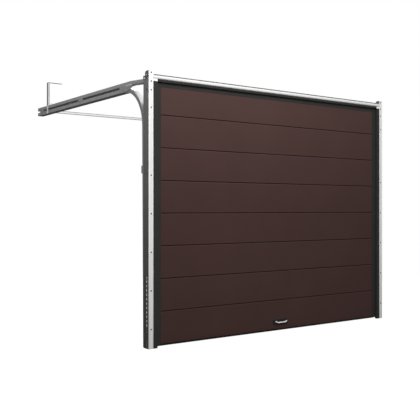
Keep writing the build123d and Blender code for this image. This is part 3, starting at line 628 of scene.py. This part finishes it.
# Screws and pin ends of the centre hinges
HINGES = (-0.640, 0, 0.640)
HINGE_SCREW = (0.0042, 0.0036)
HINGE_ACROSS, HINGE_STEPS = (-0.022, 0.022), (-0.048, -0.024, 0.024, 0.048)
PIN_END = [(0, 0.0036), (0.0018, 0.0036), (0.0026, 0.0024)]
PIN_HALF, PIN_BACK = 0.032, 0.007
screws = bmesh.new()
for joint in JOINTS:
    for middle in HINGES:
        for across in HINGE_ACROSS:
            for step in HINGE_STEPS:
                spot = (middle + across, LEAF_BACK + PLATE_T, joint + step)
                hex_bolt(screws, spot, INWARD, *HINGE_SCREW)
        for end in (-1, 1):
            spot = (middle + end * PIN_HALF, LEAF_BACK + PIN_BACK, joint)
            lathe(screws, spot, (end, 0, 0), PIN_END, 16)
piece("hinge_screws", screws, "zinc")

# Hanger bolts inside the rails, spreader tab bolts, sheave axle nuts and a bolt on each upper rail
HANGER_MID = HANGER_FRONT + 0.015
SPREADER_Y, SPREADER_STEPS = RAIL_END - 0.068, (-0.020, 0.024)
SPREADER_Z = UPPER_Z + 0.008
RAIL_BOLT_Y = 1.925
HANGER_BOLT_IN, SPREADER_BOLT_IN, AXLE_NUT_IN, RAIL_BOLT_IN = 0.004, 0.062, 0.042, 0.014
HANGER_BOLT, SPREADER_BOLT = (0.0065, 0.0060), (0.0050, 0.0050)
AXLE_NUT, RAIL_BOLT = (0.0070, 0.0034), (0.0080, 0.0160)
fixings = bmesh.new()
for side in (-1, 1):
    inside = (-side, 0, 0)
    for level in (UPPER_Z, LOWER_Z):
        spot = (side * (HALF - HANGER_BOLT_IN), HANGER_MID, level)
        hex_bolt(fixings, spot, inside, *HANGER_BOLT)
    for step in SPREADER_STEPS:
        spot = (side * (HALF - SPREADER_BOLT_IN), SPREADER_Y + step, SPREADER_Z)
        hex_bolt(fixings, spot, inside, *SPREADER_BOLT)
    spot = (side * (HALF - AXLE_NUT_IN), SHEAVE[1], SHEAVE[2])
    hex_bolt(fixings, spot, inside, *AXLE_NUT)
    spot = (side * (HALF - RAIL_BOLT_IN), RAIL_BOLT_Y, UPPER_Z + TRACK_HALF)
    hex_bolt(fixings, spot, UPWARD, *RAIL_BOLT)
piece("rail_fixings", fixings, "zinc")

# Screws of the outer handle plate and round feet of the inner bow
HANDLE_X, HANDLE_Z = 0.024, FLOOR + 0.087
SCREW_OUT, BOW_FOOT_OUT, HANDLE_PLATE_T = 0.078, 0.070, 0.004
SCREW = [(0, 0.0050), (0.0010, 0.0048), (0.0018, 0.0034), (0.0010, 0.0016)]
BOW_FOOT = [(0, 0.0150), (0.0020, 0.0150), (0.0032, 0.0135), (0.0034, 0.0080)]
fittings = bmesh.new()
for side in (-1, 1):
    spot = (HANDLE_X + side * SCREW_OUT, LEAF_FRONT - HANDLE_PLATE_T, HANDLE_Z)
    lathe(fittings, spot, OUTWARD, SCREW, 20)
    spot = (HANDLE_X + side * BOW_FOOT_OUT, LEAF_BACK, HANDLE_Z)
    lathe(fittings, spot, INWARD, BOW_FOOT, 32)
piece("handle_fittings", fittings, "black_plate")

# Spring coils, close wound, with an eye at each end
COIL_R, WIRE_R, EYE_R = 0.0113, 0.0022, 0.0075
COIL_LOW, COIL_TOP = FLOOR + 0.450, LEAF_TOP - 0.254
COIL_IN, COIL_Y = 0.021, 0.0185
NECK_X, NECK_LONG = 0.004, 0.008
TURNS, STEPS, SIDES = 300, 12, 6
LOW_EYE_START, TOP_EYE_START, EYE_STEP, EYE_POINTS = 120, -96, 24, 15


def eye(centre, height, start):
    # Points round a loop that stands in the spring's plane, from a start angle in degrees
    points = []
    for step in range(EYE_POINTS):
        angle = math.radians(start + EYE_STEP * step)
        rise = height + EYE_R * math.sin(angle)
        points.append(centre + Vector((0, EYE_R * math.cos(angle), rise)))
    return points


coils = bmesh.new()
for side in (-1, 1):
    centre = Vector((side * (HALF - COIL_IN), COIL_Y, 0))
    path = eye(centre, SPRING_ENDS[0] + EYE_R + WIRE_R, LOW_EYE_START)
    path.append(centre + Vector((NECK_X, 0, COIL_LOW - NECK_LONG)))
    for step in range(TURNS * STEPS + 1):
        angle = 2 * math.pi * step / STEPS
        height = COIL_LOW + (COIL_TOP - COIL_LOW) * step / (TURNS * STEPS)
        path.append(centre + Vector((COIL_R * math.cos(angle), COIL_R * math.sin(angle), height)))
    path.append(centre + Vector((NECK_X, 0, COIL_TOP + NECK_LONG)))
    path += eye(centre, SPRING_ENDS[1] - EYE_R - WIRE_R, TOP_EYE_START)
    wire(coils, path, WIRE_R, SIDES)
piece("spring_coils", coils, "spring_steel", ["springs"])

# Pressed ferrule on each lift cable above its eye
FERRULE = [(0, 0.0020), (0.0010, 0.0032), (0.0130, 0.0032), (0.0140, 0.0020)]
FERRULE_RISE = 0.012
CABLE_FOOT_IN, CABLE_FOOT_RISE = 0.074, 0.107
CABLE_FOOT_Y, CABLE_HEAD_Y = 0.044, 0.051
ferrules = bmesh.new()
for side in (-1, 1):
    foot = Vector((side * (HALF - CABLE_FOOT_IN), CABLE_FOOT_Y, FLOOR + CABLE_FOOT_RISE))
    head = Vector((side * (HALF - COIL_IN), CABLE_HEAD_Y, SHEAVE[2]))
    along = (head - foot).normalized()
    lathe(ferrules, foot + FERRULE_RISE * along, along, FERRULE, 16)
piece("cable_ferrules", ferrules, "zinc")

# Smooth bow grip in place of its faceted bar
GRIP_R, GRIP_RISE = 0.0052, 0.008
grip_low, grip_high = Vector(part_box("outer_grip")[0]), Vector(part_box("outer_grip")[1])
grip_mid = (grip_low.x + grip_high.x) / 2
grip_half = (grip_high.x - grip_low.x) / 2 - GRIP_R
front, back = grip_low.y + GRIP_R, grip_high.y
bottom = grip_low.z + GRIP_R
top = bottom + GRIP_RISE
corners = [
    (-grip_half, back, top),
    (-grip_half, front + 0.004, top),
    (-grip_half + 0.002, front + 0.001, top - 0.001),
    (-grip_half + 0.006, front, top - 0.003),
    (-grip_half + 0.016, front, bottom + 0.002),
    (-grip_half + 0.022, front, bottom),
]
bow = [Vector((grip_mid + x, y, z)) for x, y, z in corners]
bow += [Vector((grip_mid - x, y, z)) for x, y, z in reversed(corners)]
grip = bmesh.new()
wire(grip, bow, GRIP_R, 20)
piece("bow_grip", grip, "grip_alloy", ["outer_grip"])

# Camera at the photograph's eye point
PICTURE_PX, LENS_PX, HORIZON_PX = 420.0, 706.15, 0.8
SENSOR = 36.0
YAW = math.radians(35.838)
camera = bpy.data.objects.new("camera", bpy.data.cameras.new("camera"))
bpy.context.collection.objects.link(camera)
camera.location = (-4.2445, -4.7951, -1.0519)
camera.rotation_euler = (math.radians(90), 0, -YAW)
camera.data.sensor_width = SENSOR
camera.data.lens = LENS_PX * SENSOR / PICTURE_PX
camera.data.shift_y = -HORIZON_PX / PICTURE_PX
camera.data.clip_end = 100
bpy.context.scene.camera = camera


def clear_rays(tree):
    # 1 for rays from the camera and for those that are mirrored or pass through, 0 for the rest
    rays = tree.nodes.new("ShaderNodeLightPath")
    found = rays.outputs["Is Camera Ray"]
    for kind in ("Is Glossy Ray", "Is Transmission Ray"):
        either = tree.nodes.new("ShaderNodeMath")
        either.operation = "MAXIMUM"
        tree.links.new(found, either.inputs[0])
        tree.links.new(rays.outputs[kind], either.inputs[1])
        found = either.outputs[0]
    return found


def switch(tree, factor, a, b):
    # Shows a where the factor is 0 and b where it is 1
    both = tree.nodes.new("ShaderNodeMixShader")
    for source, socket in zip((factor, a, b), both.inputs):
        tree.links.new(source, socket)
    return both.outputs[0]


# White studio: ambient light that is stronger from above, seen as plain white
AMBIENT_LOW, AMBIENT_HIGH = 0.04, 0.55
world = bpy.data.worlds.new("world")
bpy.context.scene.world = world
world.use_nodes = True
tree = world.node_tree
ambient = tree.nodes["Background"]
ambient.inputs["Strength"].default_value = 1.0
sky = tree.nodes.new("ShaderNodeTexCoord")
height = tree.nodes.new("ShaderNodeSeparateXYZ")
shade = tree.nodes.new("ShaderNodeValToRGB")
shade.color_ramp.elements[0].position = 0.0
shade.color_ramp.elements[0].color = (*grey(AMBIENT_LOW), 1)
shade.color_ramp.elements[1].position = 0.9
shade.color_ramp.elements[1].color = (*grey(AMBIENT_HIGH), 1)
tree.links.new(sky.outputs["Generated"], height.inputs[0])
tree.links.new(height.outputs["Z"], shade.inputs["Fac"])
tree.links.new(shade.outputs["Color"], ambient.inputs["Color"])
seen = tree.nodes.new("ShaderNodeBackground")
seen.inputs["Color"].default_value = (1, 1, 1, 1)
seen.inputs["Strength"].default_value = 1.0
surface = switch(tree, clear_rays(tree), ambient.outputs[0], seen.outputs[0])
tree.links.new(surface, tree.nodes["World Output"].inputs["Surface"])


def area_light(name, place, aim, size, power):
    light = bpy.data.objects.new(name, bpy.data.lights.new(name, "AREA"))
    bpy.context.collection.objects.link(light)
    light.data.shape = "DISK"
    light.data.size = size
    light.data.energy = power
    light.location = place
    light.rotation_euler = (Vector(aim) - Vector(place)).to_track_quat("-Z", "Y").to_euler()


# A large key light high in front, a weaker one to the left, and one behind
area_light("key", (-1.2, -3.2, 1.7), (0.2, 0, -0.2), 2.6, 175)
area_light("side", (-4.2, 0.8, 1.4), (-1.4, 0.6, -0.3), 2.0, 65)
area_light("rear", (0.6, 5.0, 1.2), (0, 0, -0.8), 2.6, 150)

# Plain floor, seen nearly white, that throws little light back up
floor_mesh = bmesh.new()
bmesh.ops.create_grid(floor_mesh, x_segments=1, y_segments=1, size=30)
floor_data = bpy.data.meshes.new("floor")
floor_mesh.to_mesh(floor_data)
floor_mesh.free()
floor = bpy.data.objects.new("floor", floor_data)
bpy.context.collection.objects.link(floor)
floor.location = (0, 0, FLOOR - 0.001)
ground = bpy.data.materials.new("ground")
ground.use_nodes = True
tree = ground.node_tree
base = tree.nodes["Principled BSDF"]
base.inputs["Base Color"].default_value = (*grey(0.12), 1)
base.inputs["Roughness"].default_value = 0.9
base.inputs["Specular IOR Level"].default_value = 0.0
glow = tree.nodes.new("ShaderNodeEmission")
glow.inputs["Color"].default_value = (1, 1, 1, 1)
glow.inputs["Strength"].default_value = 0.95
off = tree.nodes.new("ShaderNodeEmission")
off.inputs["Strength"].default_value = 0.0
add = tree.nodes.new("ShaderNodeAddShader")
tree.links.new(switch(tree, clear_rays(tree), off.outputs[0], glow.outputs[0]), add.inputs[0])
tree.links.new(base.outputs[0], add.inputs[1])
tree.links.new(add.outputs[0], tree.nodes["Material Output"].inputs["Surface"])
floor_data.materials.append(ground)

bpy.context.scene.view_settings.view_transform = "Standard"
